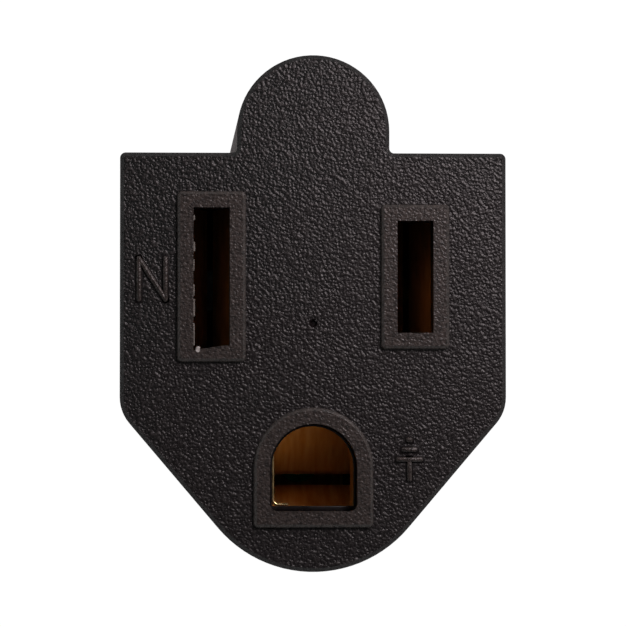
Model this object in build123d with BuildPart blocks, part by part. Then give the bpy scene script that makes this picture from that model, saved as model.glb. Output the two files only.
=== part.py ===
from build123d import *

import os
from math import cos, radians, sin

# A single grounding receptacle made as a hand-held cord connector, in millimetres.
# It stands on its cord clamp with the face upwards. +Z is the way the plug leaves,
# +Y points to the round lobe, and the neutral slot is on the -X side.
# The origin is the middle of the rear end, on the axis of the cord.

# Outline of the face. The side margin runs from a slot's middle to the side, the ground
# margin from the ground hole's middle to the end of the nose, and the upper length and the
# shoulder's rise start at the line through the middles of the two slots.
side_margin = 5.7
upper_length = 13.87
ground_margin = 6.5
shoulder_rise = 7.74
lobe_radius = 4.76
nose_radius = 7.79
taper_angle = 40.3
side_corner_radius = 2.5
shoulder_corner_radius = 0.35
lobe_foot_radius = 0.3
face_edge_chamfer = 0.25

# Openings of the face and the raised rims round them
slot_spacing = 12.7
slot_width = 2.26
neutral_slot_length = 8.6
line_slot_length = 7.0
ground_drop = 11.88
ground_hole_size = 5.44
ground_hole_corner = 0.5
rim_width = 1.02
rim_height = 0.35
rim_draft = 14
rim_corner_radius = 0.3
rim_edge_chamfer = 0.12
gate_drop = 2.9
gate_radius = 0.25
gate_depth = 0.2
gate_floor_radius = 0.12
nick_drop = 0.28
nick_run = 1.9

# Lengths along the axis; the front body follows from the contacts it holds
collar_length = 4.0
shoulder_length = 6.0
clamp_length = 8.0

# Mouldings
housing_wall = 1.8
face_wall = 1.8
ground_face_wall = 1.2
tower_wall = 1.25
rib_thickness = 1.2
rib_setback = 6.0
spigot_wall = 1.0
spigot_length = 2.2
fit_gap = 0.15
end_wall = 2.0
shoulder_step_width = 0.4
shoulder_taper = 10
shoulder_edge_chamfer = 0.5

# Finger grooves in the two flat sides of the front body
groove_count = 5
groove_pitch = 2.8
groove_width = 1.3
groove_length = 10.5
groove_depth = 0.5
groove_draft = 30
groove_height = 28.0

# Hook of the cap, at the ground end of the joint
hook_width = 5.0
hook_depth = 0.5
hook_thickness = 0.8
hook_rise = 0.8
hook_gap = 0.1

# Contacts, folded from strip
sheet = 0.5
leaf_clearance = 0.15
pocket_margin = 0.4
blade_mouth_half_gap = 1.5
blade_pinch_half_gap = 0.15
blade_back_half_gap = 1.9
bend_radius = 1.0
contact_setback = 0.3
pinch_depth = 8.0
back_depth = 14.0
web_depth = 25.2
ground_contact_size = 5.2
ground_contact_corner = 0.6
ground_contact_play = 0.04
ground_contact_lift = 0.2
ground_contact_drop = 2.92
ground_collar_length = 3.7
ground_slit_drop = 1.0
ground_slit_half_gap = 0.25
ground_pinch_depth = 8.5
ground_back_half_gap = 1.9
ground_back_depth = 15.0

# Terminals
plate_thickness = 0.8
blade_plate_gap = 0.4
ground_plate_size = 6.4
plate_corner_radius = 0.5
clamp_plate_size = 5.4
clamp_plate_thickness = 1.0
wire_groove_width = 0.6
wire_groove_depth = 0.35
window_gap = 0.2
retainer_thickness = 1.8
barrier_thickness = 1.0
barrier_height = 4.5
barrier_gap = 0.3
barrier_drop = 6.3

# Screws and nuts
terminal_shank_radius = 1.4
terminal_shank_length = 4.0
terminal_head_radius = 2.5
terminal_head_height = 2.0
assembly_shank_radius = 1.2
assembly_shank_length = 15.0
assembly_head_radius = 2.1
assembly_head_height = 1.6
assembly_well_radius = 2.35
assembly_seat_thickness = 5.0
clamp_shank_radius = 1.25
clamp_head_radius = 2.2
clamp_head_height = 1.6
clamp_screw_spacing = 16.2
nut_width = 5.0
nut_thickness = 2.0
drive_width = 0.7
drive_depth = 0.8
cross_share = 1.3
head_edge_chamfer = 0.45
thread_gap = 0.05
hole_gap = 0.15

# Cord clamp and grommet
cord_radius = 4.1
jaw_radius = 6.4
jaw_gap = 1.0
ear_reach = 11.2
fixed_ear_thickness = 4.2
saddle_ear_thickness = 3.0
ear_corner_radius = 0.8
tooth_height = 0.4
tooth_thickness = 0.8
tooth_count = 3
tooth_pitch = 2.2
saddle_clearance = 0.3
grommet_bore_radius = 4.3
grommet_wall = 1.0
grommet_clearance = 0.15
grommet_flange = 1.1
grommet_flange_thickness = 1.2

# Places worked out from the sizes above
slot_x = slot_spacing / 2
half_width = slot_x + side_margin
lower_length = ground_drop + ground_margin
blade_plate_size = 2 * (side_margin - housing_wall - blade_plate_gap)
slot_y = (lower_length - upper_length) / 2
shoulder_y = slot_y + shoulder_rise
lobe_y = slot_y + upper_length - lobe_radius
nose_y = slot_y - lower_length + nose_radius
ground_y = slot_y - ground_drop
slit_y = ground_y - ground_slit_drop
ground_contact_y = ground_y + ground_contact_lift
barrier_y = slot_y - barrier_drop
body_length = web_depth + plate_thickness + retainer_thickness + spigot_length
joint_z = clamp_length + shoulder_length + collar_length
face_z = joint_z + body_length
web_z = face_z - web_depth
plate_z = web_z - plate_thickness
clamp_plate_z = plate_z - clamp_plate_thickness
retainer_z = plate_z - retainer_thickness
end_wall_z = clamp_length + end_wall
assembly_seat_z = joint_z - assembly_seat_thickness
ground_hole_half = ground_hole_size / 2
ground_contact_half = ground_contact_size / 2
ground_outer_half = ground_contact_half + sheet
ground_outer_drop = ground_contact_drop + sheet
ground_pocket_half = ground_outer_half + leaf_clearance
ground_pocket_drop = ground_outer_drop + leaf_clearance
pocket_width = 2 * (blade_back_half_gap + sheet + leaf_clearance)
spigot_inset = housing_wall + fit_gap
cavity_inset = spigot_inset + spigot_wall
fixed_ear_y = jaw_gap / 2 + fixed_ear_thickness
saddle_ear_y = jaw_gap / 2 + saddle_ear_thickness
poles = (("neutral", -slot_x, neutral_slot_length), ("line", slot_x, line_slot_length))
terminals = (
    ("neutral", -slot_x, slot_y, blade_plate_size),
    ("line", slot_x, slot_y, blade_plate_size),
    ("ground", 0, ground_y, ground_plate_size),
)

# The shield is the outline without its lobe: straight sides, two tapers and a round nose
tangent_x = nose_radius * cos(radians(taper_angle))
tangent_y = nose_y - nose_radius * sin(radians(taper_angle))
taper_run = (half_width - tangent_x) / sin(radians(taper_angle))
side_corner_y = tangent_y + taper_run * cos(radians(taper_angle))

with BuildSketch() as sharp_shield:
    with BuildLine():
        Polyline(
            (0, shoulder_y),
            (half_width, shoulder_y),
            (half_width, side_corner_y),
            (tangent_x, tangent_y),
        )
        CenterArc((0, nose_y), nose_radius, -taper_angle, taper_angle - 90)
        mirror(about=Plane.YZ)
    make_face()

with BuildSketch() as shield:
    add(sharp_shield.sketch)
    left_corners = shield.vertices().group_by(Axis.X)[0].sort_by(Axis.Y)
    right_corners = shield.vertices().group_by(Axis.X)[-1].sort_by(Axis.Y)
    fillet([left_corners[0], right_corners[0]], radius=side_corner_radius)

with BuildSketch() as lobe:
    with Locations((0, lobe_y)):
        Circle(lobe_radius)
        Rectangle(
            2 * lobe_radius,
            lobe_y - shoulder_y + housing_wall,
            align=(Align.CENTER, Align.MAX),
        )

with BuildSketch() as sharp_outline:
    add(sharp_shield.sketch)
    add(lobe.sketch)

with BuildSketch() as outline:
    add(shield.sketch)
    add(lobe.sketch)
    shoulder_band = (shoulder_y - lobe_foot_radius, shoulder_y + lobe_foot_radius)
    shoulder_points = outline.vertices().filter_by_position(Axis.Y, *shoulder_band)
    fillet(shoulder_points.sort_by(Axis.X)[1:3], radius=lobe_foot_radius)
    shoulder_points = outline.vertices().filter_by_position(Axis.Y, *shoulder_band)
    outer_corners = [shoulder_points.sort_by(Axis.X)[0], shoulder_points.sort_by(Axis.X)[-1]]
    fillet(outer_corners, radius=shoulder_corner_radius)


def inset_shield(distance):
    """The shield drawn in from the outer wall by a distance."""
    with BuildSketch() as inset:
        add(shield.sketch)
        offset(amount=-distance)
    return inset.sketch


def d_shape(half_size, drop, corner_radius):
    """A half-round top with straight sides and rounded lower corners, centred on its arc."""
    with BuildSketch() as shape:
        Circle(half_size)
        Rectangle(2 * half_size, drop, align=(Align.CENTER, Align.MAX))
        fillet(shape.vertices().group_by(Axis.Y)[0], radius=corner_radius)
    return shape.sketch


def half_jaw(ear_thickness):
    """The upper half of the cord clamp, seen along the cord: an arch with two ears."""
    with BuildSketch() as jaw:
        Rectangle(2 * ear_reach, jaw_gap / 2 + ear_thickness, align=(Align.CENTER, Align.MIN))
        fillet(jaw.vertices().group_by(Axis.Y)[-1], radius=ear_corner_radius)
        Circle(jaw_radius)
        Circle(cord_radius, mode=Mode.SUBTRACT)
        Rectangle(
            4 * ear_reach,
            2 * jaw_radius,
            align=(Align.CENTER, Align.MAX),
            mode=Mode.SUBTRACT,
        )
        Rectangle(2 * ear_reach, jaw_gap, mode=Mode.SUBTRACT)
    return jaw.sketch


def half_tooth():
    """One grip ridge of the upper jaw, a half ring inside the cord channel."""
    with BuildSketch() as tooth:
        Circle(cord_radius)
        Circle(cord_radius - tooth_height, mode=Mode.SUBTRACT)
        Rectangle(
            4 * cord_radius,
            jaw_gap + 2 * cord_radius,
            align=(Align.CENTER, Align.MAX),
            mode=Mode.SUBTRACT,
        )
        Rectangle(4 * cord_radius, jaw_gap, mode=Mode.SUBTRACT)
    return tooth.sketch


cavity_shape = inset_shield(housing_wall)
spigot_shape = inset_shield(spigot_inset)
cap_cavity_shape = inset_shield(cavity_inset)
barrier_limit = inset_shield(cavity_inset + barrier_gap)
ground_hole_shape = d_shape(ground_hole_half, ground_hole_half, ground_hole_corner)
ground_rim_half = ground_hole_half + rim_width
ground_rim_shape = d_shape(ground_rim_half, ground_rim_half, rim_corner_radius)
ground_inner_shape = d_shape(ground_contact_half, ground_contact_drop, ground_contact_corner)
ground_outer_shape = d_shape(ground_outer_half, ground_outer_drop, ground_contact_corner)
ground_pocket_shape = d_shape(ground_pocket_half, ground_pocket_drop, ground_contact_corner)
ground_tower_shape = d_shape(
    ground_pocket_half + tower_wall, ground_pocket_drop + tower_wall, ground_contact_corner
)
fixed_jaw_shape = half_jaw(fixed_ear_thickness)
saddle_shape = mirror(half_jaw(saddle_ear_thickness), about=Plane.XZ)
fixed_tooth_shape = half_tooth()
saddle_tooth_shape = mirror(half_tooth(), about=Plane.XZ)

# Front body: one moulding with the face, the contact towers, their ribs and the lobe's post
with BuildPart() as front_body:
    with BuildSketch(Plane.XY.offset(joint_z)):
        add(outline.sketch)
    extrude(amount=body_length)
    chamfer(front_body.faces().sort_by(Axis.Z)[-1].edges(), length=face_edge_chamfer)

    # Hollow behind the face; the lobe stays solid round its screw
    with BuildSketch(Plane.XY.offset(joint_z)):
        add(cavity_shape)
    extrude(amount=body_length - face_wall, mode=Mode.SUBTRACT)

    # Towers hang from the face and reach the webs of the contacts
    with BuildSketch(Plane.XY.offset(web_z)):
        for pole, pole_x, slot_length in poles:
            with Locations((pole_x, slot_y)):
                Rectangle(
                    pocket_width + 2 * tower_wall,
                    slot_length + 2 * (pocket_margin + tower_wall),
                )
        with Locations((0, ground_contact_y)):
            add(ground_tower_shape)
    extrude(amount=web_depth - face_wall)

    # Ribs tie the towers to each other and to the walls
    with BuildSketch(Plane.XY.offset(web_z + rib_setback)):
        with Locations((0, slot_y)):
            Rectangle(2 * half_width, rib_thickness)
        with Locations((0, ground_y)):
            Rectangle(2 * half_width, rib_thickness)
        Rectangle(rib_thickness, upper_length + lower_length)
        add(cavity_shape, mode=Mode.INTERSECT)
    extrude(amount=web_depth - rib_setback - face_wall)

    # Raised rims round the three openings
    with BuildSketch(Plane.XY.offset(face_z)):
        for pole, pole_x, slot_length in poles:
            with Locations((pole_x, slot_y)):
                RectangleRounded(
                    slot_width + 2 * rim_width,
                    slot_length + 2 * rim_width,
                    rim_corner_radius,
                )
        with Locations((0, ground_y)):
            add(ground_rim_shape)
    extrude(amount=rim_height, taper=rim_draft)
    chamfer(front_body.faces().sort_by(Axis.Z)[-3:].edges(), length=rim_edge_chamfer)

    # Slots and ground hole through the face
    with BuildSketch(Plane.XY.offset(face_z + rim_height)):
        for pole, pole_x, slot_length in poles:
            with Locations((pole_x, slot_y)):
                Rectangle(slot_width, slot_length)
        with Locations((0, ground_y)):
            add(ground_hole_shape)
    extrude(amount=-(rim_height + face_wall), mode=Mode.SUBTRACT)

    # Torn corner at the lower end of the neutral slot
    with BuildSketch(Plane.XY.offset(face_z + rim_height)):
        with BuildLine():
            Polyline(
                (-slot_x - slot_width / 2, slot_y - neutral_slot_length / 2),
                (-slot_x - slot_width / 2, slot_y - neutral_slot_length / 2 - nick_drop),
                (-slot_x - slot_width / 2 + nick_run, slot_y - neutral_slot_length / 2),
                close=True,
            )
        make_face()
    extrude(amount=-(rim_height + face_wall), mode=Mode.SUBTRACT)

    # Pockets for the contacts behind the face
    with BuildSketch(Plane.XY.offset(web_z)):
        for pole, pole_x, slot_length in poles:
            with Locations((pole_x, slot_y)):
                Rectangle(pocket_width, slot_length + 2 * pocket_margin)
    extrude(amount=web_depth - face_wall, mode=Mode.SUBTRACT)
    with BuildSketch(Plane.XY.offset(web_z)):
        with Locations((0, ground_contact_y)):
            add(ground_pocket_shape)
    extrude(amount=web_depth - ground_face_wall, mode=Mode.SUBTRACT)

    # Mark left by the gate, between the slots
    with Locations((0, slot_y - gate_drop, face_z)):
        Cone(
            gate_floor_radius,
            gate_radius,
            gate_depth,
            align=(Align.CENTER, Align.CENTER, Align.MAX),
            mode=Mode.SUBTRACT,
        )

    # Pilot hole for the assembly screw
    with BuildSketch(Plane.XY.offset(joint_z)):
        with Locations((0, lobe_y)):
            Circle(assembly_shank_radius + thread_gap)
    extrude(
        amount=assembly_shank_length - assembly_seat_thickness + hole_gap,
        mode=Mode.SUBTRACT,
    )

    # Groove for the cap's hook
    with BuildSketch(Plane.XY.offset(joint_z + hook_rise - hook_gap)):
        with Locations((0, nose_y)):
            Circle(nose_radius - spigot_inset + hook_depth + hook_gap)
        with Locations((0, nose_y - nose_radius)):
            Rectangle(
                hook_width + 2 * hook_gap,
                nose_radius,
                mode=Mode.INTERSECT,
            )
    extrude(amount=hook_thickness + 2 * hook_gap, mode=Mode.SUBTRACT)

    # Finger grooves
    for side in (-1, 1):
        side_plane = Plane(
            origin=(side * half_width, (shoulder_y + side_corner_y) / 2, groove_height),
            x_dir=(0, 1, 0),
            z_dir=(side, 0, 0),
        )
        with BuildSketch(side_plane):
            with GridLocations(0, groove_pitch, 1, groove_count):
                Rectangle(groove_length, groove_width)
        extrude(amount=-groove_depth, taper=groove_draft, mode=Mode.SUBTRACT)

front_body.part.label = "front_body"

# Rear cap: collar, tapered shoulder, hollow for the wires and the fixed half of the clamp
with BuildPart() as rear_cap:
    with BuildSketch(Plane.XY.offset(joint_z)):
        add(outline.sketch)
    extrude(amount=-collar_length)
    with BuildSketch(Plane.XY.offset(joint_z - collar_length)):
        add(sharp_outline.sketch)
        offset(amount=-shoulder_step_width)
    extrude(amount=-shoulder_length, taper=shoulder_taper)
    shoulder_end = rear_cap.faces().sort_by(Axis.Z)[0]
    chamfer(shoulder_end.edges(), length=shoulder_edge_chamfer)

    # Spigot that enters the front body and holds the retainer in
    with BuildSketch(Plane.XY.offset(joint_z)):
        add(spigot_shape)
    extrude(amount=spigot_length)
    with BuildSketch(Plane.XY.offset(joint_z + hook_rise)):
        with Locations((0, nose_y)):
            Circle(nose_radius - spigot_inset + hook_depth)
        with Locations((0, nose_y - nose_radius)):
            Rectangle(hook_width, nose_radius, mode=Mode.INTERSECT)
    extrude(amount=hook_thickness)

    # Fixed jaw under the end wall
    with BuildSketch():
        add(fixed_jaw_shape)
    extrude(amount=clamp_length)
    for row in range(tooth_count):
        tooth_z = clamp_length / 2 + (row - (tooth_count - 1) / 2) * tooth_pitch
        with BuildSketch(Plane.XY.offset(tooth_z - tooth_thickness / 2)):
            add(fixed_tooth_shape)
        extrude(amount=tooth_thickness)

    # Hollow for the wires, and the hole for the grommet
    with BuildSketch(Plane.XY.offset(end_wall_z)):
        add(cap_cavity_shape)
    extrude(amount=joint_z + spigot_length - end_wall_z, mode=Mode.SUBTRACT)
    with BuildSketch(Plane.XY.offset(clamp_length)):
        Circle(grommet_bore_radius + grommet_wall + grommet_clearance)
    extrude(amount=end_wall, mode=Mode.SUBTRACT)

    # Well and hole of the assembly screw in the lobe
    with BuildSketch(Plane.XY.offset(assembly_seat_z)):
        with Locations((0, lobe_y)):
            Circle(assembly_well_radius)
    extrude(amount=-assembly_seat_z, mode=Mode.SUBTRACT)
    with BuildSketch(Plane.XY.offset(assembly_seat_z)):
        with Locations((0, lobe_y)):
            Circle(assembly_shank_radius + hole_gap)
    extrude(amount=assembly_seat_thickness, mode=Mode.SUBTRACT)

    # Holes of the clamp screws, with a pocket that keeps each nut from turning
    with BuildSketch(Plane.XZ.offset(-fixed_ear_y)):
        with Locations((0, clamp_length / 2)):
            with GridLocations(clamp_screw_spacing, 0, 2, 1):
                Circle(clamp_shank_radius + hole_gap)
    extrude(amount=fixed_ear_thickness, mode=Mode.SUBTRACT)
    with BuildSketch(Plane.XZ.offset(-fixed_ear_y)):
        with Locations((0, clamp_length / 2)):
            with GridLocations(clamp_screw_spacing, 0, 2, 1):
                RegularPolygon(nut_width / 2 + hole_gap, 6, major_radius=False)
    extrude(amount=nut_thickness, mode=Mode.SUBTRACT)

rear_cap.part.label = "rear_cap"

# Cord saddle: the loose half of the clamp
with BuildPart() as cord_saddle:
    with BuildSketch():
        add(saddle_shape)
    extrude(amount=clamp_length - saddle_clearance)
    for row in range(tooth_count):
        tooth_z = clamp_length / 2 + (row - (tooth_count - 1) / 2) * tooth_pitch
        with BuildSketch(Plane.XY.offset(tooth_z - tooth_thickness / 2)):
            add(saddle_tooth_shape)
        extrude(amount=tooth_thickness)
    with BuildSketch(Plane.XZ):
        with Locations((0, clamp_length / 2)):
            with GridLocations(clamp_screw_spacing, 0, 2, 1):
                Circle(clamp_shank_radius + hole_gap)
    extrude(amount=saddle_ear_y, mode=Mode.SUBTRACT)

cord_saddle.part.label = "cord_saddle"

# Grommet: a rubber ring in the end wall, with a flange on the inside
with BuildPart() as cord_grommet:
    with BuildSketch(Plane.XZ):
        with BuildLine():
            Polyline(
                (grommet_bore_radius, clamp_length),
                (grommet_bore_radius + grommet_wall, clamp_length),
                (grommet_bore_radius + grommet_wall, end_wall_z),
                (grommet_bore_radius + grommet_wall + grommet_flange, end_wall_z),
                (
                    grommet_bore_radius + grommet_wall + grommet_flange,
                    end_wall_z + grommet_flange_thickness,
                ),
                (grommet_bore_radius, end_wall_z + grommet_flange_thickness),
                close=True,
            )
        make_face()
    revolve(axis=Axis.Z)

cord_grommet.part.label = "cord_grommet"

# Retainer: the plate that traps the contacts, with walls between the terminals
with BuildPart() as contact_retainer:
    with BuildSketch(Plane.XY.offset(retainer_z)):
        add(spigot_shape)
    extrude(amount=retainer_thickness)
    with BuildSketch(Plane.XY.offset(retainer_z)):
        with Locations((0, barrier_y)):
            Rectangle(2 * half_width, barrier_thickness)
            Rectangle(
                barrier_thickness,
                upper_length + lower_length,
                align=(Align.CENTER, Align.MIN),
            )
        add(barrier_limit, mode=Mode.INTERSECT)
    extrude(amount=-barrier_height)
    with BuildSketch(Plane.XY.offset(retainer_z)):
        for terminal, terminal_x, terminal_y, plate_size in terminals:
            with Locations((terminal_x, terminal_y)):
                Rectangle(clamp_plate_size + 2 * window_gap, clamp_plate_size + 2 * window_gap)
    extrude(amount=retainer_thickness, mode=Mode.SUBTRACT)

contact_retainer.part.label = "contact_retainer"


def blade_contact(pole_x, slot_length):
    """A strip folded to two spring leaves for a flat blade, on a tapped terminal plate."""
    mouth_z = face_z - face_wall - contact_setback
    leaf_width = slot_length + 2 * (pocket_margin - leaf_clearance)
    with BuildPart() as contact:
        with BuildSketch(Plane.XZ.offset(-slot_y)):
            for side in (-1, 1):
                with BuildLine():
                    FilletPolyline(
                        (pole_x + side * (blade_mouth_half_gap + sheet / 2), mouth_z),
                        (pole_x + side * (blade_pinch_half_gap + sheet / 2), face_z - pinch_depth),
                        (pole_x + side * (blade_back_half_gap + sheet / 2), face_z - back_depth),
                        (pole_x + side * (blade_back_half_gap + sheet / 2), plate_z + sheet / 2),
                        radius=bend_radius,
                    )
                trace(line_width=sheet)
        extrude(amount=leaf_width / 2, both=True)
        with BuildSketch(Plane.XY.offset(plate_z)):
            with Locations((pole_x, slot_y)):
                RectangleRounded(blade_plate_size, blade_plate_size, plate_corner_radius)
        extrude(amount=plate_thickness)
        with Locations((pole_x, slot_y, web_z)):
            Hole(terminal_shank_radius + thread_gap, depth=plate_thickness)
    return contact.part


# Ground contact: a D-shaped collar with two leaves that close to a slit behind it
with BuildPart() as ground_contact:
    collar_z = face_z - ground_face_wall - leaf_clearance
    collar_end_z = collar_z - ground_collar_length
    pinch_y = ground_slit_half_gap + sheet / 2
    back_y = ground_back_half_gap + sheet / 2
    lower_wall_y = ground_contact_y - ground_contact_drop - sheet / 2
    upper_wall_y = ground_contact_y + ground_contact_half + sheet / 2
    with BuildSketch(Plane.YZ.offset(-ground_contact_play)):
        for side, wall_y in ((-1, lower_wall_y), (1, upper_wall_y)):
            with BuildLine():
                FilletPolyline(
                    (wall_y, collar_end_z + sheet),
                    (slit_y + side * pinch_y, face_z - ground_pinch_depth),
                    (ground_y + side * back_y, face_z - ground_back_depth),
                    (ground_y + side * back_y, plate_z + sheet / 2),
                    radius=bend_radius,
                )
            trace(line_width=sheet)
    extrude(amount=ground_outer_half, both=True)
    with BuildSketch(Plane.XY.offset(plate_z)):
        with Locations((-ground_contact_play, ground_contact_y)):
            add(ground_outer_shape)
    extrude(amount=collar_z - plate_z, mode=Mode.INTERSECT)
    with BuildSketch(Plane.XY.offset(collar_end_z)):
        with Locations((-ground_contact_play, ground_contact_y)):
            add(ground_outer_shape)
            add(ground_inner_shape, mode=Mode.SUBTRACT)
    extrude(amount=ground_collar_length)
    with BuildSketch(Plane.XY.offset(plate_z)):
        with Locations((0, ground_y)):
            RectangleRounded(ground_plate_size, ground_plate_size, plate_corner_radius)
    extrude(amount=plate_thickness)
    with Locations((0, ground_y, web_z)):
        Hole(terminal_shank_radius + thread_gap, depth=plate_thickness)

ground_contact.part.label = "ground_contact"


def pan_head_screw(seat, shank_radius, shank_length, head_radius, head_height, drive):
    """A screw whose head stands out of the seat plane. The drive is one slot or a cross."""
    outwards = Axis(seat.origin, seat.z_dir)
    with BuildPart() as screw:
        with BuildSketch(seat):
            Circle(shank_radius)
        extrude(amount=-shank_length)
        with BuildSketch(seat):
            Circle(head_radius)
        extrude(amount=head_height)
        crown = screw.faces().sort_by(outwards)[-1]
        chamfer(crown.edges(), length=head_edge_chamfer)
        with BuildSketch(seat.offset(head_height)):
            if drive == "slot":
                Rectangle(2 * head_radius, drive_width)
            else:
                Rectangle(cross_share * head_radius, drive_width)
                Rectangle(drive_width, cross_share * head_radius)
        extrude(amount=-drive_depth, mode=Mode.SUBTRACT)
    return screw.part


def wire_clamp(terminal_x, terminal_y):
    """The square plate that a terminal screw presses on the wire, grooved to grip it."""
    with BuildPart() as plate:
        with BuildSketch(Plane.XY.offset(clamp_plate_z)):
            with Locations((terminal_x, terminal_y)):
                Rectangle(clamp_plate_size, clamp_plate_size)
        extrude(amount=clamp_plate_thickness)
        with Locations((terminal_x, terminal_y, plate_z)):
            Hole(terminal_shank_radius + hole_gap, depth=clamp_plate_thickness)
        groove_x = (terminal_shank_radius + clamp_plate_size / 2) / 2
        with BuildSketch(Plane.XY.offset(plate_z)):
            with Locations((terminal_x, terminal_y)):
                with GridLocations(2 * groove_x, 0, 2, 1):
                    Rectangle(wire_groove_width, clamp_plate_size)
        extrude(amount=-wire_groove_depth, mode=Mode.SUBTRACT)
    return plate.part


def hex_nut(seat):
    """A hexagon nut lying on the seat plane."""
    with BuildPart() as nut:
        with BuildSketch(seat):
            RegularPolygon(nut_width / 2, 6, major_radius=False)
            Circle(clamp_shank_radius + thread_gap, mode=Mode.SUBTRACT)
        extrude(amount=nut_thickness)
    return nut.part


pieces = [front_body.part, rear_cap.part, cord_saddle.part, cord_grommet.part]
pieces += [contact_retainer.part, ground_contact.part]

for pole, pole_x, slot_length in poles:
    contact = blade_contact(pole_x, slot_length)
    contact.label = f"{pole}_contact"
    pieces.append(contact)

for terminal, terminal_x, terminal_y, plate_size in terminals:
    clamp_plate = wire_clamp(terminal_x, terminal_y)
    clamp_plate.label = f"{terminal}_wire_clamp"
    terminal_seat = Plane(origin=(terminal_x, terminal_y, clamp_plate_z), z_dir=(0, 0, -1))
    terminal_screw = pan_head_screw(
        terminal_seat,
        terminal_shank_radius,
        terminal_shank_length,
        terminal_head_radius,
        terminal_head_height,
        "slot",
    )
    terminal_screw.label = f"{terminal}_terminal_screw"
    pieces += [clamp_plate, terminal_screw]

assembly_screw = pan_head_screw(
    Plane(origin=(0, lobe_y, assembly_seat_z), z_dir=(0, 0, -1)),
    assembly_shank_radius,
    assembly_shank_length,
    assembly_head_radius,
    assembly_head_height,
    "cross",
)
assembly_screw.label = "assembly_screw"
pieces.append(assembly_screw)

for side_name, side in (("left", -1), ("right", 1)):
    clamp_x = side * clamp_screw_spacing / 2
    clamp_screw = pan_head_screw(
        Plane(origin=(clamp_x, -saddle_ear_y, clamp_length / 2), x_dir=(1, 0, 0), z_dir=(0, -1, 0)),
        clamp_shank_radius,
        saddle_ear_y + fixed_ear_y,
        clamp_head_radius,
        clamp_head_height,
        "cross",
    )
    clamp_screw.label = f"{side_name}_clamp_screw"
    nut_seat = Plane(
        origin=(clamp_x, fixed_ear_y - nut_thickness, clamp_length / 2),
        x_dir=(1, 0, 0),
        z_dir=(0, 1, 0),
    )
    clamp_nut = hex_nut(nut_seat)
    clamp_nut.label = f"{side_name}_clamp_nut"
    pieces += [clamp_screw, clamp_nut]

os.makedirs("parts", exist_ok=True)
for piece in pieces:
    export_step(piece, f"parts/{piece.label}.step")
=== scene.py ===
import math

import bpy
from mathutils import Matrix, Vector


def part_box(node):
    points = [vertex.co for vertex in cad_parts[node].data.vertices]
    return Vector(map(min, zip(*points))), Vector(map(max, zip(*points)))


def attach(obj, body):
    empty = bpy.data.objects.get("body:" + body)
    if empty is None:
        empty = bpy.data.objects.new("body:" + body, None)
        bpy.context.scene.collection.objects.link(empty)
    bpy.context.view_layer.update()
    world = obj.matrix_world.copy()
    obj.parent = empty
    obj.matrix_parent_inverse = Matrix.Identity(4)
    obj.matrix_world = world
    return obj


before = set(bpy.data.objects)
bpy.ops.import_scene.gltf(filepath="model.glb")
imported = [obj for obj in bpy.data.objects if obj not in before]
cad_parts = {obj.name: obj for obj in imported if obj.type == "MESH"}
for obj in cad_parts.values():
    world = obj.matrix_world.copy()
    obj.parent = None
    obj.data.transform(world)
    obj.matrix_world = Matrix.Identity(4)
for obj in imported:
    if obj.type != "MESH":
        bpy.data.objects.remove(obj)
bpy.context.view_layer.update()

bl_info = {
    "name": "Cord connector looks",
    "version": (1, 0, 0),
    "blender": (4, 5, 0),
    "location": "View3D > Sidebar > Connector",
    "description": "Dresses the packed cord connector and sets up its studio",
    "category": "Object",
}

MM = 0.001
FACE_LOW, FACE_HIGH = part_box("front_body")
RIM_HEIGHT = 0.35 * MM
FACE_Z = FACE_HIGH.z - RIM_HEIGHT
# Places and sizes that follow the solids of the face
SLOT_Y = 2.255 * MM
NEUTRAL_SLOT_LEFT = -7.48 * MM
TORN_CORNER = Vector((-7.2 * MM, -2.34 * MM, FACE_Z + RIM_HEIGHT))
TEAR_RADIUS = 0.15 * MM
GATE = Vector((0, SLOT_Y - 2.9 * MM, FACE_Z))
GATE_RADIUS = 0.25 * MM
GROUND_HOLE_Y = -9.625 * MM
GROUND_HOLE_HALF = 2.72 * MM
COLLAR_EDGE_Z = 46.65 * MM
CLAMP_SHANK_RADIUS = 1.25 * MM
NEUTRAL_MARK_PLACE = (-10.04 * MM, 2.1 * MM)
EARTH_MARK_PLACE = (5.98 * MM, -9.13 * MM)
# How much more of the bloom there is for each metre towards the lobe and the neutral side
BLOOM_LEAN = 0.025 / MM
# How far doubled points may stand apart when they are merged
MERGE_DISTANCE = 0.001 * MM


def linear(hex_colour):
    """An sRGB hex colour as the linear red, green and blue that the shaders work in."""
    parts = [int(hex_colour[at:at + 2], 16) / 255 for at in (1, 3, 5)]
    return tuple(c / 12.92 if c <= 0.04045 else ((c + 0.055) / 1.055) ** 2.4 for c in parts)


def opaque(colour):
    """A linear colour with full alpha, as a colour socket takes it."""
    return (*colour, 1.0)


def add_node(tree, kind, inputs=(), **settings):
    """Adds a node. Inputs pair a socket's name or number with a value or with another node's output."""
    node = tree.nodes.new(kind)
    for name, value in settings.items():
        setattr(node, name, value)
    for socket, value in inputs:
        if isinstance(value, bpy.types.NodeSocket):
            tree.links.new(value, node.inputs[socket])
        else:
            node.inputs[socket].default_value = value
    return node


def new_material(name):
    """An empty node material and its tree."""
    material = bpy.data.materials.new(name)
    material.use_nodes = True
    material.node_tree.nodes.clear()
    return material, material.node_tree


def dress(node_name, material):
    """Gives a CAD node its material."""
    for material_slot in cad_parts[node_name].material_slots:
        material_slot.material = material


def finish_piece(piece, name, material):
    """Applies the place of a modelled piece to its mesh, names it, and fixes it to the body."""
    select_only(piece)
    bpy.ops.object.transform_apply(location=True, rotation=True, scale=True)
    piece.name = name
    piece.data.name = name
    piece.data.materials.clear()
    piece.data.materials.append(material)
    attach(piece, "root")


def select_only(piece):
    """Makes one object the only selected and the active one."""
    bpy.ops.object.select_all(action="DESELECT")
    piece.select_set(True)
    bpy.context.view_layer.objects.active = piece


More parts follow.
